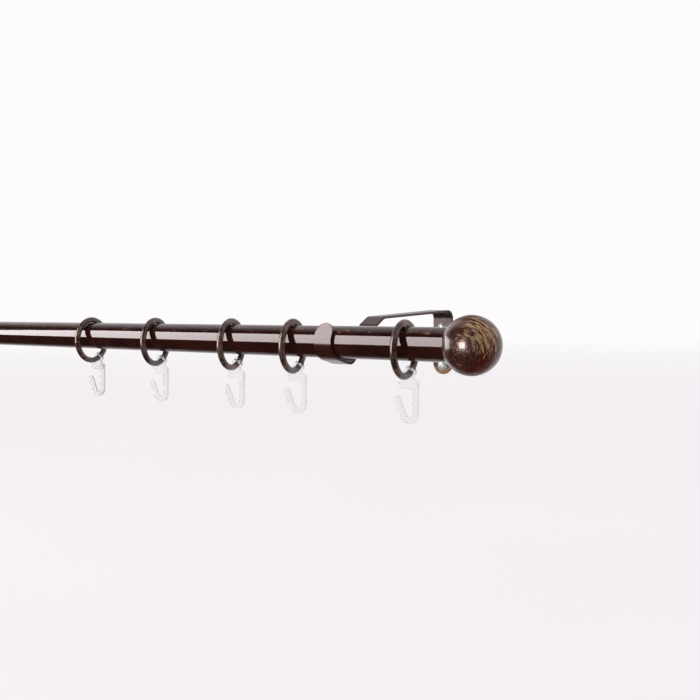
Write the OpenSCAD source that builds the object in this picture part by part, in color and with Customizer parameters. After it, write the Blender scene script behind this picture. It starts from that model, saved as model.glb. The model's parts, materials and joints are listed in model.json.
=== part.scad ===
// Curtain rod with two wall brackets, ball finials, rings and clear hooks.
// Frame: X runs along the rod, +Z is up and the wall is the plane Y = 0.
// The origin is on the wall, midway between the brackets and between their screws.

/* [Rod] */
// Outside diameter of the rod
rod_d = 20; // [16:1:25]
// Wall thickness of the rod tube
rod_wall = 1; // [0.8:0.1:1.5]
// Length of the rod tube
rod_len = 1200; // [1100:10:2400]
// Distance from the rod axis to the wall
wall_gap = 118; // [100:1:150]
// Height of the rod axis over the middle of the bracket screws
rod_rise = 6; // [4:0.5:8]

/* [Bracket] */
// Distance from each rod end to the middle of its bracket
bracket_inset = 88; // [80:1:120]
// Thickness of the bracket strip
strip_t = 1.5; // [1:0.1:2]
// Width of the strip at the clip
clip_w = 14; // [12:0.5:18]
// Width of the strip at the wall
plate_w = 16; // [15:0.5:22]
// Height of the wall plate's foot below the origin
plate_foot = 19.5; // [18:0.5:24]
// Height of the arm's top face at the wall
arm_wall_z = 26; // [23:0.5:28]
// Lean of the clip's front tongue away from upright
tongue_lean = 22; // [15:1:30]
// Length of the straight part of the tongue
tongue_len = 8.2; // [7:0.1:12]

/* [Wall screws] */
// Height between a bracket's two screws
screw_pitch = 26; // [22:1:28]
// Diameter of the screw shank
screw_d = 4; // [3.5:0.5:5]
// Diameter of the screw hole in the plate
screw_hole_d = 4.6; // [4.2:0.1:5.5]
// Diameter of the screw head
screw_head_d = 8; // [7:0.5:9]
// Height of the domed screw head
screw_head_h = 2.6; // [2:0.1:3]
// Length of the screw beyond the back of the plate
screw_reach = 32; // [25:1:45]

/* [Ball finial] */
// Diameter of the ball
ball_d = 34; // [30:1:45]
// Distance from the ball's centre to the end of the rod
ball_offset = 12.2; // [11:0.1:13]
// Diameter of the stud between ball and insert
stud_d = 6; // [5:1:8]
// Length of the insert inside the tube
insert_len = 22; // [16:1:30]

/* [Rings] */
// Inside diameter of a ring
ring_id = 27; // [26:0.5:34]
// Diameter of the ring wire
ring_wire = 4.2; // [3:0.1:4.5]
// Distance inboard of the bracket to each ring, negative for outboard
ring_places = [-54, 35, 92, 172, 249];
// Turn of each ring about the vertical
ring_turns = [12, 16, 17, 17, 12];

/* [Hooks] */
// Thickness of the flat hook moulding
hook_t = 3; // [2:0.1:4]
// Play of the hook's eye on the ring wire, on the diameter
eye_play = 0.6; // [0.4:0.1:1]
// Wall of the hook's eye
eye_wall = 1.3; // [1:0.1:1.6]
// Place of the eye round the ring, from the ring's lowest point towards the wall
eye_angle = 30; // [0:5:40]

/* [Hidden] */
$fn = 64;
eps = 0.01;

rod_r = rod_d / 2;
rod_bore_r = rod_r - rod_wall;
bracket_x = rod_len / 2 - bracket_inset;
ball_r = ball_d / 2;
ball_x = rod_len / 2 + ball_offset;

// Ball finial: the ball has a shallow seat that takes the end of the tube
seat_gap = 0.3;
seat_r = rod_r + seat_gap;
flange_t = 1;
flange_gap = 0.2;
insert_gap = 0.1;
insert_r = rod_bore_r - insert_gap;
insert_slit_w = 1.6;
insert_slit_len = 14;
insert_tip = 1.2;
stud_gap = 0.05;
stud_in_ball = 12;
stud_in_insert = 16;

// Ring and hook
ring_gap = 0.3;
ring_mean_r = (ring_id + ring_wire) / 2;
ring_drop = ring_id / 2 - rod_r - ring_gap;
eye_len = 2.6;
eye_hole_d = ring_wire + eye_play;
eye_d = eye_hole_d + 2 * eye_wall;
eye_y = ring_mean_r * sin(eye_angle);
eye_z = -ring_mean_r * cos(eye_angle);

// Hook outline, across and up from the middle of the eye
leg_x = 3.5;
leg_foot = -25;
leg_w = 3.4;
sole_r = 4;
tongue_tilt = 22;
hook_tongue_len = 11;
shoulder_w = 12.5;
shoulder_h = 5;
shoulder_top = -4.9;
shoulder_r = 2;
crook_r = 1;
neck_w = 5;

// Bracket outline: the face of the strip that meets the wall and the rod, from the plate's foot
// to the tip of the tongue, as corners [Y, Z] of the wall frame with the bend radius at each
rod_y = -wall_gap;
rod_z = rod_rise;
under_slope = 15;
clip_gap = 0.3;
clip_r = rod_r + clip_gap;
rise_foot_y = rod_y + 8.6;
arm_front_y = rod_y + 40.7;
arm_front_z = rod_z + 15.5;
knee_y = rod_y + 33.3;
knee_z = rod_z + 10.8;
wall_bend_r = 6;
arm_bend_r = 5;
knee_bend_r = 6;
foot_bend_r = 4;
// Spare length past each end, and spare width, that the rounded ends and the plan then trim off
strip_spare = 2;
// The full-round ends are this much larger in radius than half the strip
round_ease = 0.02;
// Angle between neighbouring points on a bend
bend_step = 7.5;

// Directions from the rod axis to where the tongue and the under-run leave the clip's bend
tongue_dir = [-cos(tongue_lean), sin(tongue_lean)];
under_dir = [-sin(under_slope), -cos(under_slope)];
rod_c = [rod_y, rod_z];
// The corner where those two tangents meet, and the tip of the tongue
wrap_corner = rod_c + clip_r * (tongue_dir + under_dir) / (1 + tongue_dir * under_dir);
tongue_tip = rod_c + clip_r * tongue_dir
    + (tongue_len - clip_w / 2) * [sin(tongue_lean), cos(tongue_lean)];
// The under-run leaves the rod with a gentle downward slope towards the wall
under_foot = [rise_foot_y, wrap_corner.y - (rise_foot_y - wrap_corner.x) * tan(under_slope)];

strip_corners = [
    [0, -plate_foot + plate_w / 2, 0],
    [0, arm_wall_z, wall_bend_r],
    [arm_front_y, arm_front_z, arm_bend_r],
    [knee_y, knee_z, knee_bend_r],
    [under_foot.x, under_foot.y, foot_bend_r],
    [wrap_corner.x, wrap_corner.y, clip_r],
    [tongue_tip.x, tongue_tip.y, 0]
];

// A heading in degrees from one outline point to another, and unit vectors along it and to its left
function heading(p, q) = atan2(q.y - p.y, q.x - p.x);
function ahead(h) = [cos(h), sin(h)];
function left_of(h) = [-sin(h), cos(h)];
// A turn brought into -180 to 180 degrees
function turn(a) = a > 180 ? a - 360 : (a < -180 ? a + 360 : a);
// Points along an arc
function arc(middle, r, from, to) =
    let (steps = ceil(abs(to - from) / bend_step))
    [for (k = [0 : steps]) middle + r * ahead(from + (to - from) * k / steps)];
function reverse(list) = [for (i = [len(list) - 1 : -1 : 0]) list[i]];

// The bend at corner i of outline c, on the face that lies off to the left of the outline.
// A bend's radius is that of the outline itself.
function bend(c, i, off) =
    let (
        h = heading(c[i - 1], c[i]),
        a = turn(heading(c[i], c[i + 1]) - h),
        side = sign(a),
        r = c[i].z,
        start = [c[i].x, c[i].y] - r * tan(abs(a) / 2) * ahead(h),
        middle = start + side * r * left_of(h)
    )
    arc(middle, r - side * off, h - side * 90, h - side * 90 + a);
// One face of the strip, from past the plate's foot to past the tongue's tip
function strip_face(c, off) =
    let (
        last = len(c) - 1,
        first_h = heading(c[0], c[1]),
        last_h = heading(c[last - 1], c[last])
    )
    concat(
        [[c[0].x, c[0].y] - (plate_w / 2 + strip_spare) * ahead(first_h) + off * left_of(first_h)],
        [for (i = [1 : last - 1]) each bend(c, i, off)],
        [[c[last].x, c[last].y] + (clip_w / 2 + strip_spare) * ahead(last_h) + off * left_of(last_h)]
    );

// Side +1 is the right-hand end, seen from the room, and -1 is the left-hand end
module at_bracket(side) {
    translate([side * bracket_x, 0, 0]) children();
}

module along_x(x) {
    translate([x, -wall_gap, rod_rise]) rotate([0, 90, 0]) children();
}

// ---------- Rod ----------
module rod_tube() {
    color([0.20, 0.09, 0.08])
    along_x(-rod_len / 2)
    difference() {
        cylinder(h = rod_len, r = rod_r);
        translate([0, 0, -1]) cylinder(h = rod_len + 2, r = rod_bore_r);
    }
}

// ---------- Ball finial, drawn with +Z pointing outwards and the ball's centre at the origin ----------
module at_finial(side) {
    translate([side * ball_x, -wall_gap, rod_rise]) rotate([0, side * 90, 0]) children();
}

seat_floor = -ball_offset + flange_t + flange_gap;

module finial_ball(side) {
    color([0.28, 0.12, 0.10])
    at_finial(side)
    difference() {
        sphere(r = ball_r);
        translate([0, 0, seat_floor - ball_r]) cylinder(h = ball_r, r = seat_r);
        translate([0, 0, seat_floor - 1]) cylinder(h = stud_in_ball + 1.5, r = stud_d / 2 + stud_gap);
    }
}

module finial_stud(side) {
    color([0.75, 0.75, 0.77])
    at_finial(side)
    translate([0, 0, seat_floor - stud_in_insert])
        cylinder(h = stud_in_insert + stud_in_ball, r = stud_d / 2);
}

module finial_insert(side) {
    color([0.15, 0.15, 0.15])
    at_finial(side)
    difference() {
        union() {
            translate([0, 0, seat_floor - flange_t]) cylinder(h = flange_t, r = rod_r - insert_gap);
            translate([0, 0, seat_floor - flange_t - insert_len + insert_tip])
                cylinder(h = insert_len - insert_tip + eps, r = insert_r);
            translate([0, 0, seat_floor - flange_t - insert_len])
                cylinder(h = insert_tip, r1 = insert_r - insert_tip, r2 = insert_r);
        }
        translate([0, 0, seat_floor - insert_len - 2])
            cylinder(h = insert_len + 3, r = stud_d / 2 + stud_gap);
        for (a = [0, 90])
            rotate([0, 0, a])
            translate([-rod_r, -insert_slit_w / 2, seat_floor - flange_t - insert_len - 1])
                cube([rod_d, insert_slit_w, insert_slit_len + 1]);
    }
}

// ---------- Bracket: one strip bent along strip_corners ----------
// What is trimmed off one end of the strip to leave it full round, w wide, about outline point p
module strip_end_trim(p, direction, w) {
    reach = w / 2 + strip_spare + 1;
    translate([0, p.x, p.y])
    rotate([direction, 0, 0])
    difference() {
        translate([-reach, 0, -1]) cube([2 * reach, reach, strip_t + 2]);
        translate([0, 0, -2]) cylinder(h = strip_t + 4, r = w / 2 + round_ease);
    }
}

// Plan of the strip: narrow at the clip, widening along the arm
module strip_plan() {
    behind = strip_spare;
    before = rod_y - clip_r - strip_t - strip_spare;
    linear_extrude(4 * (arm_wall_z + plate_foot), center = true)
    polygon([
        [-plate_w / 2, behind], [-plate_w / 2, -wall_bend_r],
        [-clip_w / 2, arm_front_y], [-clip_w / 2, before],
        [clip_w / 2, before], [clip_w / 2, arm_front_y],
        [plate_w / 2, -wall_bend_r], [plate_w / 2, behind]
    ]);
}

module bracket_strip(side) {
    c = strip_corners;
    last = len(c) - 1;
    color([0.25, 0.16, 0.13])
    at_bracket(side)
    difference() {
        intersection() {
            rotate([90, 0, 90])
                linear_extrude(plate_w + 2 * strip_spare, center = true)
                polygon(concat(strip_face(c, 0), reverse(strip_face(c, strip_t))));
            strip_plan();
        }
        translate([0, -strip_t, 0]) strip_end_trim(c[0], heading(c[1], c[0]), plate_w);
        strip_end_trim(c[last], heading(c[last - 1], c[last]), clip_w);
        for (z = [-screw_pitch / 2, screw_pitch / 2])
            translate([0, strip_spare, z]) rotate([90, 0, 0])
                cylinder(h = strip_t + 2 * strip_spare, r = screw_hole_d / 2);
    }
}

// ---------- Wall screws: domed heads with a cross recess, shanks standing out of the plate's back ----------
module wall_screw() {
    head_r = screw_head_d / 2;
    dome_r = (head_r * head_r + screw_head_h * screw_head_h) / (2 * screw_head_h);
    neck_r = 0.75 * screw_d / 2;
    neck_len = strip_t + 0.3;
    tip_len = 5;
    tip_r = 0.3;
    recess_turn = 20;
    recess_w = 1;
    recess_l = 4.4;
    recess_depth = 1.5;
    translate([0, -strip_t, 0])
    rotate([90, 0, 0])
    difference() {
        union() {
            intersection() {
                cylinder(h = screw_head_h + 1, r = head_r);
                translate([0, 0, screw_head_h - dome_r]) sphere(r = dome_r);
            }
            translate([0, 0, -neck_len - eps])
                cylinder(h = neck_len + 2 * eps, r = neck_r);
            translate([0, 0, -strip_t - screw_reach + tip_len])
                cylinder(h = strip_t + screw_reach - tip_len - neck_len, r = screw_d / 2);
            translate([0, 0, -strip_t - screw_reach])
                cylinder(h = tip_len, r1 = tip_r, r2 = screw_d / 2);
        }
        for (a = [0, 90])
            rotate([0, 0, a + recess_turn])
            translate([-recess_l / 2, -recess_w / 2, screw_head_h - recess_depth])
                cube([recess_l, recess_w, recess_depth + 1]);
    }
}

module wall_screws(side) {
    color([0.80, 0.80, 0.80])
    at_bracket(side)
    for (z = [-screw_pitch / 2, screw_pitch / 2])
        translate([0, 0, z]) wall_screw();
}

// ---------- Rings and hooks: numbers 1 to 5 are on the right, outermost first, and 6 to 10 on the left ----------
function ring_side(n) = n <= 5 ? 1 : -1;
function ring_x(n) = ring_side(n) * (bracket_x - ring_places[(n - 1) % 5]);
function ring_turn(n) = ring_side(n) * ring_turns[(n - 1) % 5];

// Frame of ring n: the ring's middle, with X along the ring's own axis
module at_ring(n) {
    translate([ring_x(n), -wall_gap, rod_rise - ring_drop])
    rotate([0, 0, ring_turn(n)])
        children();
}

module ring(n) {
    color([0.22, 0.15, 0.11])
    at_ring(n)
    rotate([0, 90, 0])
    rotate_extrude()
    translate([ring_mean_r, 0]) circle(r = ring_wire / 2);
}

// Outline of the flat hook, as [across, up] from the middle of the eye
function hook_outline() =
    let (
        sole = [leg_x - sole_r, leg_foot],
        tip = sole + hook_tongue_len * ahead(90 + tongue_tilt) + sole_r * ahead(180 + tongue_tilt),
        outer_x = leg_x + leg_w / 2,
        inner_x = leg_x - leg_w / 2,
        far_x = outer_x - shoulder_w,
        shoulder_foot = shoulder_top - shoulder_h,
        neck_top = -eye_hole_d / 2
    )
    concat(
        arc(tip, leg_w / 2, tongue_tilt, 180 + tongue_tilt),
        arc(sole, sole_r + leg_w / 2, 180 + tongue_tilt, 360),
        arc([outer_x - shoulder_r, shoulder_top - shoulder_r], shoulder_r, 0, 90),
        [[neck_w / 2, shoulder_top], [neck_w / 2, neck_top], [-neck_w / 2, neck_top], [-neck_w / 2, shoulder_top]],
        arc([far_x + shoulder_r, shoulder_top - shoulder_r], shoulder_r, 90, 180),
        arc([far_x + shoulder_r, shoulder_foot + shoulder_r], shoulder_r, 180, 270),
        arc([inner_x - crook_r, shoulder_foot - crook_r], crook_r, 90, 0),
        arc(sole, sole_r - leg_w / 2, 0, tongue_tilt - 180)
    );

// The eye is a short collar on the ring wire, and the flat body hangs upright below it
module hook(n) {
    color([0.90, 0.92, 0.95])
    at_ring(n)
    translate([0, eye_y, eye_z])
    difference() {
        union() {
            rotate([eye_angle, 0, 0]) rotate([90, 0, 0])
                translate([0, 0, -eye_len / 2]) cylinder(h = eye_len, r = eye_d / 2);
            rotate([90, 0, 0]) linear_extrude(hook_t, center = true) polygon(hook_outline());
        }
        rotate([eye_angle, 0, 0]) rotate([90, 0, 0])
            translate([0, 0, -eye_d]) cylinder(h = 2 * eye_d, r = eye_hole_d / 2);
    }
}

rod_tube();
finial_ball(1);  // finial_ball_right
finial_stud(1);  // finial_stud_right
finial_insert(1);  // finial_insert_right
finial_ball(-1);  // finial_ball_left
finial_stud(-1);  // finial_stud_left
finial_insert(-1);  // finial_insert_left
bracket_strip(1);  // bracket_strip_right
wall_screws(1);  // wall_screws_right
bracket_strip(-1);  // bracket_strip_left
wall_screws(-1);  // wall_screws_left
ring(1);  // ring_01
ring(2);  // ring_02
ring(3);  // ring_03
ring(4);  // ring_04
ring(5);  // ring_05
ring(6);  // ring_06
ring(7);  // ring_07
ring(8);  // ring_08
ring(9);  // ring_09
ring(10);  // ring_10
hook(1);  // hook_01
hook(2);  // hook_02
hook(3);  // hook_03
hook(4);  // hook_04
hook(5);  // hook_05
hook(6);  // hook_06
hook(7);  // hook_07
hook(8);  // hook_08
hook(9);  // hook_09
hook(10);  // hook_10
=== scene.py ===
import json
import math

import bmesh
import bpy
from mathutils import Matrix, Vector

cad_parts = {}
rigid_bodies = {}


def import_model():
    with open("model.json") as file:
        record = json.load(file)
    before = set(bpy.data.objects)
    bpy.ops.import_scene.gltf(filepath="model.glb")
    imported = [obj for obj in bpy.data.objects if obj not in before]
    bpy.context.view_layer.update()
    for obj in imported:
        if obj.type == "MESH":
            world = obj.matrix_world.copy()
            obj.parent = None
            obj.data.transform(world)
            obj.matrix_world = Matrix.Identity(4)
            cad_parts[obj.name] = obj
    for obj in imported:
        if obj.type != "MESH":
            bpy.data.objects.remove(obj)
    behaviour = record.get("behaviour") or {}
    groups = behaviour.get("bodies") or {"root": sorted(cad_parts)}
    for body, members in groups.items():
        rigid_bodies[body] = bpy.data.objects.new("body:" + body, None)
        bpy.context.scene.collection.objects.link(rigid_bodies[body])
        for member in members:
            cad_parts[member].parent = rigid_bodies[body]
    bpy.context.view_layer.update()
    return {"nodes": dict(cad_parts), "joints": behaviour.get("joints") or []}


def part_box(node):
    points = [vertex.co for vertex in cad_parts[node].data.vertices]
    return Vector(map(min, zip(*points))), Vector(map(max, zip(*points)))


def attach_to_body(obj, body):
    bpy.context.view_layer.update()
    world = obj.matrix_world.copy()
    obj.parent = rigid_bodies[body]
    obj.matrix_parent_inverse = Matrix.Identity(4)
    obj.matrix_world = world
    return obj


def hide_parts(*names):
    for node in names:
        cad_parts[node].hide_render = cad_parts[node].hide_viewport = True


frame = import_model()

# Lengths below are in millimetres, as in part.scad, and MM turns them into Blender's metres.
# X runs along the rod, +Y into the wall and +Z up.
MM = 0.001

# ---------- Driving sizes, the same as the CAD model's ----------
ROD_R = 10.0
ROD_BORE_R = 9.0
BALL_R = 17.0
BALL_OFFSET = 12.2
SEAT_R = 10.3
SEAT_FLOOR = -11.0
BORE_R = 3.05
BORE_END = 1.5
PLATE_W = 16.0
CLIP_W = 14.0
STRIP_T = 1.5
SCREW_HALF_PITCH = 13.0
SCREW_HOLE_R = 2.3
RING_R = 15.6
RING_WIRE_R = 2.1
RING_EASE = 0.01
# The ring hangs on the rod, from which the CAD ring keeps a clearance
RING_SAG = 0.2
# The groove of the ring's butt joint
RING_GROOVE = 0.12
RING_GROOVE_HALF_W = 0.5
RING_JOINT_AT = math.radians(70)
EYE_ANGLE = math.radians(30)


def middle_of(node):
    """Middle of a CAD node's box, in millimetres."""
    lo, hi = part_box(node)
    return (lo + hi) / 2 / MM


ROD_Y, ROD_Z = middle_of("rod_tube").yz
ROD_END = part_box("rod_tube")[1].x / MM
BRACKET_X = middle_of("bracket_strip_right").x
SIDES = {"right": 1, "left": -1}


def ball_middle(side):
    """Middle of a ball, in millimetres."""
    return Vector((SIDES[side] * (ROD_END + BALL_OFFSET), ROD_Y, ROD_Z))


# ---------- Meshes ----------
def piece_from(name, verts, faces, material, sharp=40):
    """A smooth-shaded object of vertices in millimetres; edges over `sharp` degrees stay crisp."""
    mesh = bpy.data.meshes.new(name)
    mesh.from_pydata([Vector(v) * MM for v in verts], [], faces)
    return finish_mesh(name, mesh, material, sharp)


def smooth(mesh, sharp):
    """Smooth shading, with edges over `sharp` degrees kept crisp."""
    mesh.polygons.foreach_set("use_smooth", [True] * len(mesh.polygons))
    mesh.set_sharp_from_angle(angle=math.radians(sharp))


def finish_mesh(name, mesh, material, sharp=40):
    """A new object of the mesh, welded, turned outwards, smoothed and given its material."""
    bm = bmesh.new()
    bm.from_mesh(mesh)
    bmesh.ops.remove_doubles(bm, verts=bm.verts, dist=1e-7)
    bmesh.ops.recalc_face_normals(bm, faces=bm.faces)
    bm.to_mesh(mesh)
    bm.free()
    smooth(mesh, sharp)
    mesh.materials.clear()
    mesh.materials.append(material)
    obj = bpy.data.objects.new(name, mesh)
    bpy.context.scene.collection.objects.link(obj)
    return obj


def rows_to_faces(n_rows, n_cols, wrap_rows=False):
    """Quads over points laid out row by row, where each row is a closed loop."""
    faces = []
    for i in range(n_rows if wrap_rows else n_rows - 1):
        for j in range(n_cols):
            a, b = i * n_cols, (i + 1) % n_rows * n_cols
            k = (j + 1) % n_cols
            faces.append((a + j, b + j, b + k, a + k))
    return faces


def arc(cx, cy, r, start, end, steps):
    """Points along an arc, in degrees."""
    out = []
    for k in range(steps + 1):
        a = math.radians(start + (end - start) * k / steps)
        out.append((cx + r * math.cos(a), cy + r * math.sin(a)))
    return out


def lathe(profile, segments, closed=False):
    """Turns (along, radius) points about the X axis; a closed profile ends where it starts."""
    verts = []
    for along, r in profile:
        for k in range(segments):
            a = 2 * math.pi * k / segments
            verts.append((along, r * math.cos(a), r * math.sin(a)))
    return verts, rows_to_faces(len(profile), segments, wrap_rows=closed)


def pin_profile(reach, r):
    """Profile of a plain cylinder, for a cut, that reaches as far to either side of the origin."""
    return [(-reach, 0), (-reach, r), (reach, r), (reach, 0)]


def placed(verts, matrix):
    """The points moved by a matrix."""
    return [matrix @ Vector(v) for v in verts]


def attach(obj, body, slot, *nodes):
    """The piece rides on its body and stands for its CAD nodes, which it hides; its slot is not
    used.
    """
    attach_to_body(obj, body)
    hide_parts(*nodes)
    return obj


def boolean(obj, other, operation):
    """Joins the other object to this one or cuts it away, and removes the other."""
    step = obj.modifiers.new("cut", "BOOLEAN")
    step.operation = operation
    step.object = other
    step.solver = "EXACT"
    graph = bpy.context.evaluated_depsgraph_get()
    result = bpy.data.meshes.new_from_object(obj.evaluated_get(graph))
    obj.modifiers.clear()
    obj.data = result
    bpy.data.objects.remove(other)
    return obj


# ---------- Materials ----------
# Object coordinates are in metres, and so are the ramps below that run over a position.
class Shader:
    """A node material whose nodes are added one by one."""

    def __init__(self, name, **settings):
        self.material = bpy.data.materials.new(name)
        self.material.use_nodes = True
        self.tree = self.material.node_tree
        self.surface = self.tree.nodes["Principled BSDF"]
        self.set(self.surface, settings)

    def set(self, target, inputs):
        """Sets or links a node's inputs, given by number or by name with _ for a space."""
        for key, value in inputs.items():
            self.put(target.inputs[key.replace("_", " ") if isinstance(key, str) else key], value)

    def put(self, socket, value):
        """Links an input to another node's output, or gives it a value."""
        if isinstance(value, bpy.types.NodeSocket):
            self.tree.links.new(value, socket)
        else:
            socket.default_value = value

    def add(self, kind, inputs=None, **attributes):
        """Adds a node and gives its first output."""
        made = self.tree.nodes.new("ShaderNode" + kind)
        for key, value in attributes.items():
            setattr(made, key, value)
        self.set(made, inputs or {})
        return made.outputs[0]

    def place(self, stretch=(1, 1, 1), about=(0, 0, 0), turn=(0, 0, 0)):
        """Object coordinates, turned and stretched about a point."""
        coordinates = self.tree.nodes.new("ShaderNodeTexCoord").outputs["Object"]
        origin = Vector(about) * MM
        moved = self.add("VectorMath", {0: coordinates, 1: origin}, operation="SUBTRACT")
        turned = self.add("Mapping", {"Vector": moved, "Rotation": turn})
        return self.add("Mapping", {"Vector": turned, "Scale": stretch})

    def noise(self, vector, scale, detail=3.0, roughness=0.5, distortion=0.0):
        return self.add("TexNoise", {"Vector": vector, "Scale": scale, "Detail": detail,
                                     "Roughness": roughness, "Distortion": distortion})

    def ramp(self, value, low, high, out_low=0.0, out_high=1.0):
        """Takes low..high to out_low..out_high, smoothly and held at both ends."""
        inputs = {"Value": value, "From Min": low, "From Max": high,
                  "To Min": out_low, "To Max": out_high}
        return self.add("MapRange", inputs, interpolation_type="SMOOTHSTEP")

    def times(self, a, b):
        return self.add("Math", {0: a, 1: b}, operation="MULTIPLY")

    def plus(self, a, b):
        """Sum of the two, held between 0 and 1."""
        return self.add("Math", {0: a, 1: b}, operation="ADD", use_clamp=True)

    def most(self, a, b):
        return self.add("Math", {0: a, 1: b}, operation="MAXIMUM")

    def reach_towards(self, vector, direction):
        """How far the vector reaches in a direction."""
        self.add("VectorMath", {0: vector, 1: direction}, operation="DOT_PRODUCT")
        return self.tree.nodes[-1].outputs["Value"]

    def axis(self, vector, name):
        split = self.tree.nodes.new("ShaderNodeSeparateXYZ")
        self.tree.links.new(vector, split.inputs[0])
        return split.outputs[name]

    def blend(self, share, low, high):
        """A colour between low and high."""
        mixed = self.tree.nodes.new("ShaderNodeMix")
        mixed.data_type = "RGBA"
        colours = [s for s in mixed.inputs if s.type == "RGBA"]
        self.put(mixed.inputs[0], share)
        for socket, colour in zip(colours, (low, high)):
            self.put(socket, (*colour, 1.0) if isinstance(colour, tuple) else colour)
        return next(s for s in mixed.outputs if s.type == "RGBA")

    def bump(self, height, distance, strength):
        """Bumps the surface by a height, over a distance in millimetres."""
        inputs = {"Height": height, "Distance": distance * MM, "Strength": strength}
        self.set(self.surface, {"Normal": self.add("Bump", inputs)})

    def finish(self, **settings):
        self.set(self.surface, settings)
        return self.material


DARK = (0.017, 0.0040, 0.0028)
MAROON = (0.032, 0.0074, 0.0054)
PINK_GOLD = (0.62, 0.33, 0.22)
LACQUER_IOR = 1.45
LACQUER_SHEEN = (1.0, 0.83, 0.85, 1.0)


def rod_lacquer():
    """Glossy dark bronze lacquer: fine lines along the rod, worn flecks on its upper side."""
    s = Shader("rod_lacquer", IOR=LACQUER_IOR, Specular_Tint=LACQUER_SHEEN)
    along = s.place(stretch=(9, 260, 260))
    lines = s.noise(along, 6.0, detail=4.0)
    clouds = s.noise(s.place(), 90.0, detail=3.0)
    depth = s.ramp(s.plus(s.times(lines, 0.25), s.times(clouds, 0.75)), 0.32, 0.68)
    base = s.blend(depth, DARK, MAROON)
    flecks = s.noise(s.place(stretch=(60, 210, 210)), 2.6, detail=5.0, roughness=0.7)
    height = s.axis(s.place(about=(0, 0, ROD_Z)), "Z")
    upper = s.ramp(height, 0.0035, 0.0075)
    worn = s.times(s.ramp(flecks, 0.58, 0.68), upper)
    base = s.blend(s.times(worn, 0.55), base, PINK_GOLD)
    s.bump(s.plus(s.times(lines, 0.5), s.times(clouds, 0.5)), 0.02, 0.25)
    return s.finish(**{"Base Color": base, "Metallic": s.times(worn, 0.3),
                       "Roughness": s.ramp(lines, 0.3, 0.75, 0.045, 0.11)})


def ball_lacquer(side):
    """The rod's lacquer with gold strokes that circle the ball's front; painted glow round its
    highlight.
    """
    s = Shader("ball_lacquer_" + side, IOR=LACQUER_IOR, Specular_Tint=LACQUER_SHEEN)
    sign = SIDES[side]
    here = s.place(about=ball_middle(side))
    tipped, swung = math.radians(-7), math.radians(-sign * 11)
    local = s.place(about=ball_middle(side), turn=(tipped, 0, swung))
    x, y, z = (s.axis(local, a) for a in "XYZ")
    # Strokes run round the front-to-back axis; the angle from the front sets them apart
    around = s.add("VectorMath", {0: s.add("CombineXYZ", {"X": x, "Z": z})}, operation="NORMALIZE")
    out_from_axis = s.reach_towards(local, around)
    polar = s.add("Math", {0: out_from_axis, 1: y}, operation="ARCTAN2")
    lengthwise = s.add("VectorMath", {0: around, 1: (2.2, 0, 2.2)}, operation="MULTIPLY")
    across = s.add("CombineXYZ", {"Y": s.times(polar, 14.0)})
    sweep = s.add("VectorMath", {0: lengthwise, 1: across}, operation="ADD")
    hairs = s.noise(sweep, 1.0, detail=5.0, roughness=0.65, distortion=0.25)
    clouds = s.noise(here, 130.0, detail=3.0)
    # The gold is thick on the upper outer side of the front and thin elsewhere, and thick round the
    # lamp's highlight
    facing = s.reach_towards(here, (sign * 0.73, -0.48, 0.49))
    region = s.ramp(facing, 0.0105, 0.0160)
    # Painted highlight: gold round the spot where the lamp's highlight falls in the fitted camera's
    # view stands in for that highlight's glow
    front = s.ramp(s.reach_towards(here, (sign * 0.22, -0.97, 0.04)), 0.0150, 0.0166, 0.0, 0.7)
    gold_and_glow_share = s.plus(s.times(s.most(region, front), 0.14), s.times(clouds, 0.04))
    gold_and_painted_glow = s.ramp(s.plus(hairs, gold_and_glow_share), 0.58, 0.78)
    base = s.blend(s.ramp(clouds, 0.3, 0.7), (0.030, 0.0042, 0.0026), (0.070, 0.0105, 0.0060))
    base = s.blend(s.times(gold_and_painted_glow, 0.8), base, (0.50, 0.34, 0.18))
    # The front is polished; round its edge the coat is thinner, so no lamp glares off the outline
    forward = s.reach_towards(here, (sign * -0.07, -1.0, 0.0))
    polished = s.ramp(forward, 0.0080, 0.0130)
    behind = s.ramp(forward, 0.0030, -0.0005)
    s.bump(s.plus(s.times(hairs, 0.8), s.times(clouds, 0.2)), 0.05, 0.35)
    return s.finish(**{"Base Color": base, "Metallic": s.times(s.times(gold_and_painted_glow, polished), 0.35),
                       "Specular IOR Level": s.ramp(polished, 0.0, 1.0, 0.04, 0.9),
                       "Coat Weight": s.ramp(s.most(polished, behind), 0.0, 1.0, 0.25, 0.9),
                       "Roughness": s.plus(s.ramp(clouds, 0.3, 0.7, 0.26, 0.34),
                                           s.times(gold_and_painted_glow, 0.08)),
                       "Coat Roughness": 0.05, "Coat IOR": 1.5})


def ring_bronze():
    """Dark bronze wire with gold speckled and brushed on."""
    s = Shader("ring_bronze", IOR=LACQUER_IOR, Specular_Tint=LACQUER_SHEEN)
    specks = s.noise(s.place(), 520.0, detail=5.0, roughness=0.75)
    patches = s.noise(s.place(), 140.0, detail=2.0)
    brushed = s.ramp(s.plus(s.times(specks, 0.6), s.times(patches, 0.4)), 0.53, 0.68)
    spots = s.ramp(s.noise(s.place(), 210.0, detail=4.0, roughness=0.7), 0.58, 0.72)
    base = s.blend(s.ramp(patches, 0.35, 0.65), (0.026, 0.011, 0.009), (0.078, 0.044, 0.036))
    base = s.blend(s.times(brushed, 0.6), base, (0.30, 0.21, 0.10))
    base = s.blend(s.times(spots, 0.7), base, (0.46, 0.34, 0.12))
    s.bump(specks, 0.05, 0.4)
    return s.finish(**{"Base Color": base, "Metallic": s.times(brushed, 0.35),
                       "Specular IOR Level": 0.75,
                       "Roughness": s.ramp(specks, 0.3, 0.7, 0.15, 0.26)})


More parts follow.
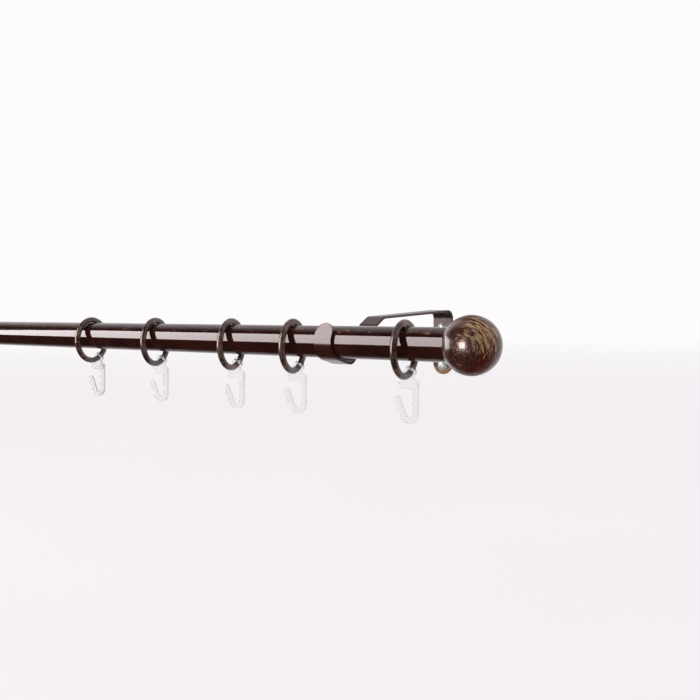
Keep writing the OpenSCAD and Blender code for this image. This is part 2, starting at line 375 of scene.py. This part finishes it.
def bracket_lacquer(side):
    """Dark bronze lacquer with gold at the plate's foot and the tongue's tip: partly rubbed
    through, partly a painted highlight.
    """
    s = Shader("bracket_lacquer_" + side, IOR=LACQUER_IOR, Specular_Tint=LACQUER_SHEEN)
    here = s.place()
    y, z = s.axis(here, "Y"), s.axis(here, "Z")
    grain = s.noise(s.place(stretch=(1, 1, 2.5)), 420.0, detail=6.0, roughness=0.75)
    clouds = s.noise(here, 120.0, detail=3.0)
    # Partly painted highlight: gold at the foot and the tip stands for light caught on the strip's
    # round ends, as well as gold rubbed through there
    foot = s.ramp(z, -0.0105, -0.0155)
    tip = s.times(s.ramp(z, 0.0125, 0.0185), s.ramp(y, -0.1105, -0.1130))
    worn = s.ramp(s.plus(s.times(s.most(foot, tip), 0.5), s.times(grain, 0.5)), 0.62, 0.8)
    clip = s.ramp(y, -0.092, -0.103)
    base = s.blend(s.ramp(clouds, 0.3, 0.7), (0.022, 0.0085, 0.0058), (0.055, 0.024, 0.017))
    base = s.blend(clip, base, MAROON)
    # Worn gold, with a painted highlight at the foot and the tip
    base = s.blend(s.times(worn, 0.85), base, (0.26, 0.17, 0.065))
    s.bump(s.plus(s.times(grain, 0.5), s.times(clouds, 0.5)), 0.02, 0.25)
    return s.finish(**{"Base Color": base, "Metallic": s.times(worn, 0.15),
                       "Specular IOR Level": s.ramp(z, -0.0085, -0.0035, 0.12, 0.5),
                       "Roughness": s.plus(s.plus(s.ramp(grain, 0.3, 0.7, 0.30, 0.38),
                                                  s.times(worn, 0.15)),
                                           s.times(clip, -0.17))})


def zinc_plate():
    s = Shader("zinc_plate", Metallic=0.55)
    spangle = s.noise(s.place(), 600.0, detail=4.0)
    base = s.blend(s.ramp(spangle, 0.3, 0.7), (0.60, 0.62, 0.64), (0.86, 0.87, 0.88))
    s.bump(spangle, 0.01, 0.2)
    return s.finish(**{"Base Color": base, "Roughness": s.ramp(spangle, 0.3, 0.7, 0.24, 0.40)})


def stud_steel():
    s = Shader("stud_steel", Metallic=1.0)
    turned = s.noise(s.place(stretch=(2400, 60, 60)), 1.0, detail=3.0)
    base = s.blend(turned, (0.42, 0.42, 0.43), (0.68, 0.68, 0.70))
    s.bump(turned, 0.03, 0.5)
    return s.finish(**{"Base Color": base, "Roughness": s.ramp(turned, 0.3, 0.7, 0.22, 0.4)})


def nylon():
    s = Shader("nylon")
    grain = s.noise(s.place(), 900.0, detail=3.0)
    base = s.blend(grain, (0.018, 0.018, 0.019), (0.040, 0.040, 0.042))
    s.bump(grain, 0.04, 0.4)
    return s.finish(**{"Base Color": base, "Roughness": s.ramp(grain, 0.3, 0.7, 0.42, 0.6)})


def clear_plastic():
    """Clear moulded plastic with a faint flow in it."""
    s = Shader("clear_plastic", IOR=1.46, Roughness=0.03, Alpha=0.5)
    s.surface.inputs["Transmission Weight"].default_value = 1.0
    flow = s.noise(s.place(stretch=(1, 1, 0.4)), 260.0, detail=2.0)
    base = s.blend(flow, (0.88, 0.88, 0.90), (0.96, 0.96, 0.97))
    s.bump(flow, 0.05, 0.25)
    return s.finish(**{"Base Color": base})


# ---------- Rod ----------
def make_rod(material):
    """One-piece tube with a small chamfer at both rims of each end."""
    chamfer = 0.25
    outside = [(-ROD_END + chamfer, ROD_R), (ROD_END - chamfer, ROD_R)]
    right = [(ROD_END, ROD_R - chamfer), (ROD_END, ROD_BORE_R + chamfer)]
    inside = [(ROD_END - chamfer, ROD_BORE_R), (-ROD_END + chamfer, ROD_BORE_R)]
    left = [(-ROD_END, ROD_BORE_R + chamfer), (-ROD_END, ROD_R - chamfer)]
    verts, faces = lathe(outside + right + inside + left, segments=192, closed=True)
    at = Matrix.Translation((0, ROD_Y, ROD_Z))
    rod = piece_from("rod", placed(verts, at), faces, material, sharp=30)
    attach(rod, "rod", "rod_lacquer", "rod_tube")


# ---------- Ball finial ----------
def make_ball(side, material):
    """Ball with a seat that takes the tube's end and a bore that takes the stud."""
    rim_w = 0.45
    rim_depth = 0.25
    rim_step = 0.12
    chamfer = 0.3
    rim_angle = math.degrees(math.asin((SEAT_R + rim_w) / BALL_R))
    outside = [(-x, y) for x, y in arc(0, 0, BALL_R, rim_angle, 180, 72)]
    rim_x = -math.sqrt((BALL_R - rim_depth) ** 2 - SEAT_R ** 2)
    seat = [(rim_x, SEAT_R + rim_step), (rim_x + rim_depth, SEAT_R), (SEAT_FLOOR, SEAT_R)]
    bore = [(SEAT_FLOOR, BORE_R + chamfer), (SEAT_FLOOR + chamfer, BORE_R),
            (BORE_END, BORE_R), (BORE_END, 0)]
    outside.reverse()
    verts, faces = lathe([(x, max(y, 0)) for x, y in outside + seat + bore], segments=128)
    at = Matrix.Translation(ball_middle(side)) @ Matrix.Diagonal((SIDES[side], 1, 1, 1))
    ball = piece_from("ball_" + side, placed(verts, at), faces, material, sharp=35)
    return attach(ball, "finial_" + side, "ball_lacquer", "finial_ball_" + side)


# ---------- Bracket strip ----------
TONGUE_LEAN = math.radians(22)
TONGUE_LEN = 8.18
UNDER_SLOPE = math.radians(15)
UNDER_REACH = 8.6
CLIP_GAP = 0.3
CLIP_R = ROD_R + CLIP_GAP
PLATE_FOOT = 19.5
# The arm's bends: the height at the wall, then distance and height from the rod's axis
ARM_WALL_Z = 26
ARM_FRONT = (40.7, 15.5)
ARM_KNEE = (33.3, 10.8)
WALL_BEND_R = 6
FRONT_BEND_R = 5
KNEE_BEND_R = 6
UNDER_BEND_R = 4


def strip_corners():
    """Corners of the strip's face to wall and rod: (Y, Z, bend radius) from foot to tongue."""
    rod = Vector((ROD_Y, ROD_Z))
    to_tongue = Vector((-math.cos(TONGUE_LEAN), math.sin(TONGUE_LEAN)))
    to_under = Vector((-math.sin(UNDER_SLOPE), -math.cos(UNDER_SLOPE)))
    wrap = rod + CLIP_R * (to_tongue + to_under) / (1 + to_tongue.dot(to_under))
    tip = rod + CLIP_R * to_tongue
    tip += (TONGUE_LEN - CLIP_W / 2) * Vector((math.sin(TONGUE_LEAN), math.cos(TONGUE_LEAN)))
    under_y = ROD_Y + UNDER_REACH
    under_z = wrap.y - (under_y - wrap.x) * math.tan(UNDER_SLOPE)
    return [(0, -PLATE_FOOT + PLATE_W / 2, 0),
            (0, ARM_WALL_Z, WALL_BEND_R),
            (ROD_Y + ARM_FRONT[0], ROD_Z + ARM_FRONT[1], FRONT_BEND_R),
            (ROD_Y + ARM_KNEE[0], ROD_Z + ARM_KNEE[1], KNEE_BEND_R),
            (under_y, under_z, UNDER_BEND_R),
            (wrap.x, wrap.y, CLIP_R),
            (tip.x, tip.y, 0)]


def strip_path():
    """Runs and bends as (length, start, heading, turn, radius), the round ends included."""
    corners = [Vector(c[:2]) for c in strip_corners()]
    radii = [c[2] for c in strip_corners()]
    headings = [math.atan2(*(b - a).yx) for a, b in zip(corners, corners[1:])]
    turns = [math.remainder(b - a, 2 * math.pi) for a, b in zip(headings, headings[1:])]
    reach = [0] + [radii[i + 1] * math.tan(abs(t) / 2) for i, t in enumerate(turns)] + [0]
    path = []
    for i, h in enumerate(headings):
        ahead = Vector((math.cos(h), math.sin(h)))
        before = PLATE_W / 2 if i == 0 else -reach[i]
        after = CLIP_W / 2 if i == len(headings) - 1 else -reach[i + 1]
        start = corners[i] - ahead * before
        length = (corners[i + 1] - corners[i]).length + before + after
        path.append((length, start, h, 0, 0))
        if i < len(turns):
            turn, radius = turns[i], radii[i + 1]
            path.append((abs(turn) * radius, start + ahead * length, h, turn, radius))
    return path


def on_strip(path, s, off):
    """The point (Y, Z) at length s along the outline and off to its left."""
    for length, start, heading, turn, radius in path[:-1]:
        if s <= length:
            break
        s -= length
    else:
        length, start, heading, turn, radius = path[-1]
    if not turn:
        ahead = Vector((math.cos(heading), math.sin(heading)))
        return start + ahead * s + Vector((-ahead.y, ahead.x)) * off
    side = math.copysign(1, turn)
    middle = start + side * radius * Vector((-math.sin(heading), math.cos(heading)))
    a = heading + side * s / radius - side * math.pi / 2
    return middle + (radius - side * off) * Vector((math.cos(a), math.sin(a)))


def strip_width(y):
    """Full width of the strip: wide at the wall, narrower from the arm's front bend on."""
    front = ROD_Y + ARM_FRONT[0]
    share = min(max((y - front) / (-WALL_BEND_R - front), 0), 1)
    return CLIP_W + (PLATE_W - CLIP_W) * share


def strip_rows(path):
    """Stations along the strip: ('foot', angle), ('side', s) or ('tip', angle)."""
    end_steps = 14
    bend_step = 3
    run_step = 4
    rows = [("foot", k * 90 / end_steps) for k in range(end_steps)]
    done = 0
    total = sum(p[0] for p in path)
    for length, _, _, turn, _ in path:
        bent = math.ceil(math.degrees(abs(turn)) / bend_step)
        steps = max(1, bent) if turn else max(2, math.ceil(length / run_step))
        for k in range(steps):
            s = done + length * k / steps
            if PLATE_W / 2 < s < total - CLIP_W / 2:
                rows.append(("side", s))
        done += length
    rows += [("tip", k * 90 / end_steps) for k in range(end_steps + 1)]
    return rows, total


def strip_half(rows, total, inset):
    """Half outline of the flat strip as (s, x), drawn in by inset."""
    out = []
    for kind, value in rows:
        a = math.radians(value)
        if kind == "foot":
            r = PLATE_W / 2 - inset
            out.append((PLATE_W / 2 - r * math.cos(a), r * math.sin(a)))
        elif kind == "side":
            out.append((value, PLATE_W / 2 - inset))
        else:
            out.append((total - CLIP_W / 2 + (CLIP_W / 2 - inset) * math.sin(a),
                        (PLATE_W / 2 - inset) * math.cos(a)))
    return out


def make_strip(side, material):
    """The bracket: a flat strip with full-round ends and softened edges, bent along its path."""
    edge = 0.2
    edge_steps = 4
    across = 10
    path = strip_path()
    rows, total = strip_rows(path)
    # The cross-section runs over the far face, round one edge, back over the near face and
    # round the other edge
    levels = []
    for k in range(edge_steps + 1):
        a = math.pi / 2 * k / edge_steps
        levels.append((edge * (1 - math.sin(a)), STRIP_T - edge + edge * math.cos(a)))
    levels += [(inset, STRIP_T - off) for inset, off in reversed(levels)]
    halves = [(strip_half(rows, total, inset), off) for inset, off in levels]
    verts = []
    for i in range(len(rows)):
        one_edge = [(*half[i], off) for half, off in halves]
        other_edge = [(s, -x, off) for s, x, off in reversed(one_edge)]
        far_s, far_x, far_off = one_edge[0]
        near_s, near_x, near_off = one_edge[-1]
        loop = [(far_s, far_x * (2 * k / across - 1), far_off) for k in range(1, across)]
        loop += one_edge
        loop += [(near_s, near_x * (1 - 2 * k / across), near_off) for k in range(1, across)]
        loop += other_edge
        for s, x, off in loop:
            point = on_strip(path, s, off)
            verts.append((x * strip_width(point.x) / PLATE_W, point.x, point.y))
    faces = rows_to_faces(len(rows), len(verts) // len(rows))
    at = Matrix.Translation((SIDES[side] * BRACKET_X, 0, 0))
    strip = piece_from("strip_" + side, placed(verts, at), faces, material, sharp=45)
    for z in (-SCREW_HALF_PITCH, SCREW_HALF_PITCH):
        hole, hole_faces = lathe(pin_profile(reach=2, r=SCREW_HOLE_R), segments=48)
        turn = at @ Matrix.Translation((0, -STRIP_T / 2, z)) @ Matrix.Rotation(math.pi / 2, 4, "Z")
        cutter = piece_from("hole", placed(hole, turn), hole_faces, material)
        strip = boolean(strip, cutter, "DIFFERENCE")
    smooth(strip.data, 45)
    attach(strip, "brackets", "bracket_lacquer", "bracket_strip_" + side)


# ---------- Wall screws ----------
SCREW_R = 2.0
SCREW_NECK_R = 1.5
SCREW_NECK_LEN = 1.8
SCREW_ROOT_R = 1.42
SCREW_PITCH = 1.8
SCREW_LEN = 33.5
SCREW_TIP_LEN = 6.0
THREAD_RUN_IN = 1.2
ROOT_RUN_IN = 0.8
CREST_HALF_W = 0.2
POINT_SHARE = 0.12
HEAD_R = 4.0
HEAD_H = 2.6
RECESS_DEPTH = 1.5
RECESS_TURNS = (20, 110)


def make_screw(name, material):
    """Domed head with a cross recess and a threaded shank that points along +X."""
    segments = 36
    blunt = 0.2
    step = SCREW_PITCH / 10
    verts, rows = [], 0
    u = 0.0
    while u <= SCREW_LEN - blunt:
        taper = min(1, (SCREW_LEN - u) / SCREW_TIP_LEN)
        past_neck = u - SCREW_NECK_LEN
        rise = min(max(past_neck / THREAD_RUN_IN, 0), 1)
        sunk = min(max(past_neck / ROOT_RUN_IN, 0), 1)
        core = SCREW_NECK_R - (SCREW_NECK_R - SCREW_ROOT_R) * sunk
        for k in range(segments):
            a = 2 * math.pi * k / segments
            phase = (u / SCREW_PITCH - k / segments) % 1
            crest = max(0, 1 - abs(phase - 0.5) / CREST_HALF_W) * rise
            r = (core + (SCREW_R - core) * crest) * (POINT_SHARE + (1 - POINT_SHARE) * taper)
            verts.append((u, r * math.cos(a), r * math.sin(a)))
        rows += 1
        u += step
    # The head's rim is rounded between its underside and the dome
    underside, widest, dome_foot = (0, HEAD_R - 0.2), (-0.12, HEAD_R - 0.03), HEAD_R - 0.15
    dome_r = (HEAD_R ** 2 + HEAD_H ** 2) / (2 * HEAD_H)
    reach = math.degrees(math.asin(dome_foot / dome_r))
    dome = [(-(x - (dome_r - HEAD_H)), y) for x, y in arc(0, 0, dome_r, 0, reach, 12)]
    head = [(0, SCREW_NECK_R), underside, widest] + dome[::-1]
    shank_faces = rows_to_faces(rows, segments)
    last = (rows - 1) * segments
    shank_faces.append(tuple(range(last, last + segments)))
    head_verts, head_faces = lathe(head, segments)
    base = len(verts)
    faces = shank_faces + [tuple(base + i for i in f) for f in head_faces]
    screw = piece_from(name, verts + head_verts, faces, material, sharp=50)
    for turn in RECESS_TURNS:
        cutter = recess_blade(material)
        cutter.data.transform(Matrix.Rotation(math.radians(turn), 4, "X"))
        screw = boolean(screw, cutter, "DIFFERENCE")
    return screw


def recess_blade(material):
    """One blade of the cross recess, tapering into the head."""
    spare = 0.6
    mouth = (-HEAD_H - spare, 2.4, 0.55)
    floor = (-HEAD_H + RECESS_DEPTH, 1.2, 0.33)
    corners = ((-1, -1), (1, -1), (1, 1), (-1, 1))
    verts = [(along, i * half_l, j * half_w)
             for along, half_l, half_w in (mouth, floor) for i, j in corners]
    faces = [(0, 1, 2, 3), (4, 5, 6, 7), (0, 1, 5, 4), (1, 2, 6, 5), (2, 3, 7, 6), (3, 0, 4, 7)]
    return piece_from("blade", verts, faces, material)


def make_screws(side, material):
    """The two screws of one bracket, each driven in to another angle."""
    for place, z, driven in (("lower", -SCREW_HALF_PITCH, 0), ("upper", SCREW_HALF_PITCH, 0.6)):
        screw = make_screw("screw_%s_%s" % (side, place), material)
        at = Matrix.Translation(Vector((SIDES[side] * BRACKET_X, -STRIP_T, z)) * MM)
        into_wall = Matrix.Rotation(math.pi / 2, 4, "Z")
        screw.data.transform(at @ into_wall @ Matrix.Rotation(driven, 4, "X"))
        smooth(screw.data, 35)
        attach(screw, "brackets", "zinc", "wall_screws_" + side)


# ---------- Rings ----------
def ring_frames():
    """Each ring's frame as a matrix: its middle, turned so that X is the ring's own axis."""
    frames = {}
    for joint in frame["joints"]:
        if joint["name"].startswith("hook_swing_"):
            number = joint["name"][-2:]
            turn = math.atan2(-joint["axis"][0], joint["axis"][1])
            middle = Matrix.Translation(middle_of("ring_" + number))
            frames[number] = middle @ Matrix.Rotation(turn, 4, "Z")
    return frames


def make_ring(number, at, material):
    """A wire ring closed by a butt joint, whose fine groove lies on the wall side."""
    around, section = 160, 36
    verts = []
    for i in range(around):
        a = 2 * math.pi * i / around
        away = abs(math.remainder(a - RING_JOINT_AT, 2 * math.pi)) * RING_R
        groove = RING_GROOVE * max(0, 1 - away / RING_GROOVE_HALF_W)
        r = RING_WIRE_R - RING_EASE - groove
        for k in range(section):
            b = 2 * math.pi * k / section
            reach = RING_R + r * math.cos(b)
            verts.append((r * math.sin(b), reach * math.cos(a), reach * math.sin(a) - RING_SAG))
    faces = rows_to_faces(around, section, wrap_rows=True)
    ring = piece_from("wire_ring_" + number, placed(verts, at), faces, material, sharp=60)
    attach(ring, "ring_" + number, "ring_bronze", "ring_" + number)


# ---------- Hooks ----------
HOOK_T = 3.0
EYE_HOLE_R = 2.4
EYE_R = 3.7
EYE_LEN = 2.6
LEG_X = 3.5
LEG_W = 3.4
LEG_FOOT = -24.98
SOLE_R = 4.0
TONGUE_TILT = 22
HOOK_TONGUE = 11.0
SHOULDER_W = 12.5
SHOULDER_H = 5.0
SHOULDER_TOP = -4.9
SHOULDER_R = 2.0
CROOK_R = 1.0
NECK_W = 5.0


def hook_outline():
    """Outline of the flat hook, across and up from the middle of its eye."""
    sole = Vector((LEG_X - SOLE_R, LEG_FOOT))
    tilt = math.radians(TONGUE_TILT)
    up = Vector((-math.sin(tilt), math.cos(tilt)))
    tip = sole + HOOK_TONGUE * up + SOLE_R * Vector((-math.cos(tilt), -math.sin(tilt)))
    outer_x, inner_x = LEG_X + LEG_W / 2, LEG_X - LEG_W / 2
    far_x = outer_x - SHOULDER_W
    foot = SHOULDER_TOP - SHOULDER_H
    neck = NECK_W / 2
    points = arc(tip.x, tip.y, LEG_W / 2, TONGUE_TILT, 180 + TONGUE_TILT, 16)
    points += arc(sole.x, sole.y, SOLE_R + LEG_W / 2, 180 + TONGUE_TILT, 360, 28)
    points += arc(outer_x - SHOULDER_R, SHOULDER_TOP - SHOULDER_R, SHOULDER_R, 0, 90, 8)
    points += [(neck, SHOULDER_TOP), (neck, -EYE_HOLE_R)]
    points += [(-neck, -EYE_HOLE_R), (-neck, SHOULDER_TOP)]
    points += arc(far_x + SHOULDER_R, SHOULDER_TOP - SHOULDER_R, SHOULDER_R, 90, 180, 8)
    points += arc(far_x + SHOULDER_R, foot + SHOULDER_R, SHOULDER_R, 180, 270, 8)
    points += arc(inner_x - CROOK_R, foot - CROOK_R, CROOK_R, 90, 0, 6)
    points += arc(sole.x, sole.y, SOLE_R - LEG_W / 2, 0, TONGUE_TILT - 180, 20)
    return points


def hook_mesh(material):
    """The moulded hook, with the middle of its eye at the origin."""
    edge = 0.45
    curve = bpy.data.curves.new("hook_curve", "CURVE")
    curve.dimensions = "2D"
    curve.fill_mode = "BOTH"
    curve.extrude = (HOOK_T / 2 - edge) * MM
    curve.bevel_depth = edge * MM
    curve.bevel_resolution = 3
    curve.offset = -edge * MM
    points = hook_outline()
    spline = curve.splines.new("POLY")
    spline.points.add(len(points) - 1)
    for point, (x, z) in zip(spline.points, points):
        point.co = (x * MM, z * MM, 0, 1)
    spline.use_cyclic_u = True
    holder = bpy.data.objects.new("hook_curve", curve)
    bpy.context.scene.collection.objects.link(holder)
    graph = bpy.context.evaluated_depsgraph_get()
    mesh = bpy.data.meshes.new_from_object(holder.evaluated_get(graph))
    bpy.data.objects.remove(holder)
    mesh.transform(Matrix.Rotation(math.pi / 2, 4, "X"))
    body = finish_mesh("hook", mesh, material)
    tilt = Matrix.Rotation(EYE_ANGLE, 4, "X") @ Matrix.Rotation(math.pi / 2, 4, "Z")
    half, round_off = EYE_LEN / 2, 0.4
    quarter = [(round_off * math.sin(math.radians(a)), round_off * math.cos(math.radians(a)))
               for a in (0, 22, 45, 68, 90)]
    collar = [(-half, 0)]
    collar += [(-half + round_off - c, EYE_R - round_off + s) for s, c in quarter]
    collar += [(half - round_off + s, EYE_R - round_off + c) for s, c in quarter]
    collar += [(half, 0)]
    verts, faces = lathe(collar, segments=64)
    body = boolean(body, piece_from("collar", placed(verts, tilt), faces, material), "UNION")
    bore, bore_faces = lathe(pin_profile(reach=6, r=EYE_HOLE_R), segments=64)
    body = boolean(body, piece_from("bore", placed(bore, tilt), bore_faces, material), "DIFFERENCE")
    mesh = body.data
    bpy.data.objects.remove(body)
    smooth(mesh, 40)
    return mesh


def make_hook(number, at, mesh):
    """A copy of the moulded hook on its ring's wire."""
    eye = (0, RING_R * math.sin(EYE_ANGLE), -RING_R * math.cos(EYE_ANGLE))
    matrix = at @ Matrix.Translation(eye)
    matrix.translation = matrix.translation * MM
    hook = bpy.data.objects.new("clear_hook_" + number, mesh.copy())
    hook.data.transform(matrix)
    bpy.context.scene.collection.objects.link(hook)
    attach(hook, "hook_" + number, "clear_plastic", "hook_" + number)


# ---------- Floor, light and camera ----------
# The floor is in millimetres like the part; lights and camera are in metres.
FLOOR_Z = -420
FLOOR_MIDDLE = (200, 300)
FLOOR_RINGS = (0, 1000, 3000, 8000, 18000)
# Where the fade starts and ends, in metres from the floor's middle
FLOOR_FADE = (0.8, 17.0)


def make_floor():
    """A pale floor that fades into the pale background far from the part."""
    s = Shader("floor", Roughness=0.9)
    s.surface.inputs["Specular IOR Level"].default_value = 0.0
    tone = s.noise(s.place(), 1.4, detail=2.0)
    s.finish(**{"Base Color": s.blend(tone, (0.87, 0.845, 0.87), (0.90, 0.875, 0.90))})
    away = s.tree.nodes.new("ShaderNodeVectorMath")
    away.operation = "LENGTH"
    s.tree.links.new(s.place(about=(*FLOOR_MIDDLE, 0)), away.inputs[0])
    fade = s.ramp(away.outputs["Value"], *FLOOR_FADE)
    clear = s.add("BsdfTransparent")
    output = s.tree.nodes["Material Output"]
    mixed = s.tree.nodes.new("ShaderNodeMixShader")
    s.tree.links.new(fade, mixed.inputs[0])
    s.tree.links.new(s.surface.outputs[0], mixed.inputs[1])
    s.tree.links.new(clear, mixed.inputs[2])
    s.tree.links.new(mixed.outputs[0], output.inputs["Surface"])
    x, y = FLOOR_MIDDLE
    segments = 64
    angles = [2 * math.pi * k / segments for k in range(segments)]
    verts = [(x + r * math.cos(a), y + r * math.sin(a), FLOOR_Z)
             for r in FLOOR_RINGS for a in angles]
    floor = piece_from("floor", verts, rows_to_faces(len(FLOOR_RINGS), segments), s.material)
    floor.visible_glossy = False


def make_light(name, at, towards, size, radiance, glossy, lit=()):
    """A rectangular area light that faces a point and gives gloss, or else diffuse light.

    It reaches only the objects in `lit`, if any are given.
    """
    lamp = bpy.data.lights.new(name, "AREA")
    lamp.shape = "RECTANGLE"
    lamp.size, lamp.size_y = size
    lamp.energy = radiance * math.pi * size[0] * size[1]
    light = bpy.data.objects.new(name, lamp)
    light.location = at
    light.rotation_euler = (Vector(towards) - Vector(at)).to_track_quat("-Z", "Y").to_euler()
    light.visible_camera = False
    light.visible_diffuse = not glossy
    light.visible_transmission = False
    light.visible_glossy = glossy
    bpy.context.scene.collection.objects.link(light)
    if lit:
        receivers = bpy.data.collections.new(name + "_receivers")
        for obj in lit:
            receivers.objects.link(obj)
        light.light_linking.receiver_collection = receivers


def make_lights(balls, lacquered):
    """A tall window at the left, a pane and a lamp for each ball, and a soft key from above."""
    make_light("window", at=(-2.0, -2.1, 0.95), towards=(-2.0, 0, 0.95), size=(3.6, 2.7),
               radiance=11.5, glossy=True, lit=lacquered)
    for ball, (side, sign) in zip(balls, SIDES.items()):
        middle = ball_middle(side) * MM
        make_light("pane", at=middle + Vector((sign * -1.38, -0.243, 0.085)), towards=middle,
                   size=(1.1, 0.6), radiance=4.0, glossy=True, lit=[ball])
        make_light("lamp", at=middle + Vector((sign * -0.10, -1.5, 0.05)), towards=middle,
                   size=(0.60, 0.60), radiance=13.0, glossy=True, lit=[ball])
    make_light("key", at=(-1.2, -1.6, 1.9), towards=(0.1, 0, 0), size=(1.6, 1.6),
               radiance=1.2, glossy=False)


def is_lacquered(obj, balls):
    """True for the pieces that mirror the window: all but the balls and the clear hooks."""
    return obj.type == "MESH" and obj not in balls and not obj.name.startswith("clear_hook")


def make_world():
    """Pale all round; gloss sees a pale wall behind the part and a dim room in front of it."""
    pale = 0.985
    wall_lean = 0.3
    world = bpy.data.worlds.new("studio")
    world.use_nodes = True
    bpy.context.scene.world = world
    tree = world.node_tree
    background = tree.nodes["Background"]

    def add(kind, operation=None):
        made = tree.nodes.new("ShaderNode" + kind)
        if operation:
            made.operation = operation
        return made

    direction = add("SeparateXYZ")
    tree.links.new(add("TexCoord").outputs["Generated"], direction.inputs[0])
    wall = add("MapRange")
    wall.interpolation_type = "SMOOTHSTEP"
    lift = add("Math", "MULTIPLY_ADD")
    tree.links.new(direction.outputs["Z"], lift.inputs[0])
    lift.inputs[1].default_value = wall_lean
    tree.links.new(direction.outputs["Y"], lift.inputs[2])
    tree.links.new(lift.outputs[0], wall.inputs["Value"])
    for key, value in {"From Min": -0.12, "From Max": 0.42, "To Min": 0.03, "To Max": 0.95}.items():
        wall.inputs[key].default_value = value
    path = add("LightPath")
    share = add("Mix")
    share.data_type = "FLOAT"
    tree.links.new(path.outputs["Is Glossy Ray"], share.inputs[0])
    share.inputs[2].default_value = pale
    tree.links.new(wall.outputs[0], share.inputs[3])
    tree.links.new(share.outputs[0], background.inputs["Strength"])
    background.inputs["Color"].default_value = (1.0, 0.985, 0.99, 1.0)


def make_camera():
    """The fitted camera: before the right-hand end, looking to the left and slightly down."""
    pitch, yaw = math.radians(90 - 2.23), math.radians(39.98)
    camera = bpy.data.cameras.new("camera")
    camera.sensor_width = 36
    camera.lens = 51.43
    camera.clip_start = 0.01
    holder = bpy.data.objects.new("camera", camera)
    holder.location = (0.915, -0.5838, 0.025)
    holder.rotation_euler = (pitch, 0, yaw)
    bpy.context.scene.collection.objects.link(holder)
    bpy.context.scene.camera = holder


def main():
    bpy.context.scene.view_settings.view_transform = "Standard"
    make_camera()
    make_world()
    make_floor()
    make_rod(rod_lacquer())
    zinc, steel, plastic = zinc_plate(), stud_steel(), nylon()
    balls = []
    for side in SIDES:
        balls.append(make_ball(side, ball_lacquer(side)))
        make_strip(side, bracket_lacquer(side))
        make_screws(side, zinc)
        frame["nodes"]["finial_stud_" + side].material_slots[0].material = steel
        frame["nodes"]["finial_insert_" + side].material_slots[0].material = plastic
    bronze = ring_bronze()
    hook = hook_mesh(clear_plastic())
    for number, at in ring_frames().items():
        make_ring(number, at, bronze)
        make_hook(number, at, hook)
    make_lights(balls, [o for o in bpy.context.scene.objects if is_lacquered(o, balls)])


main()
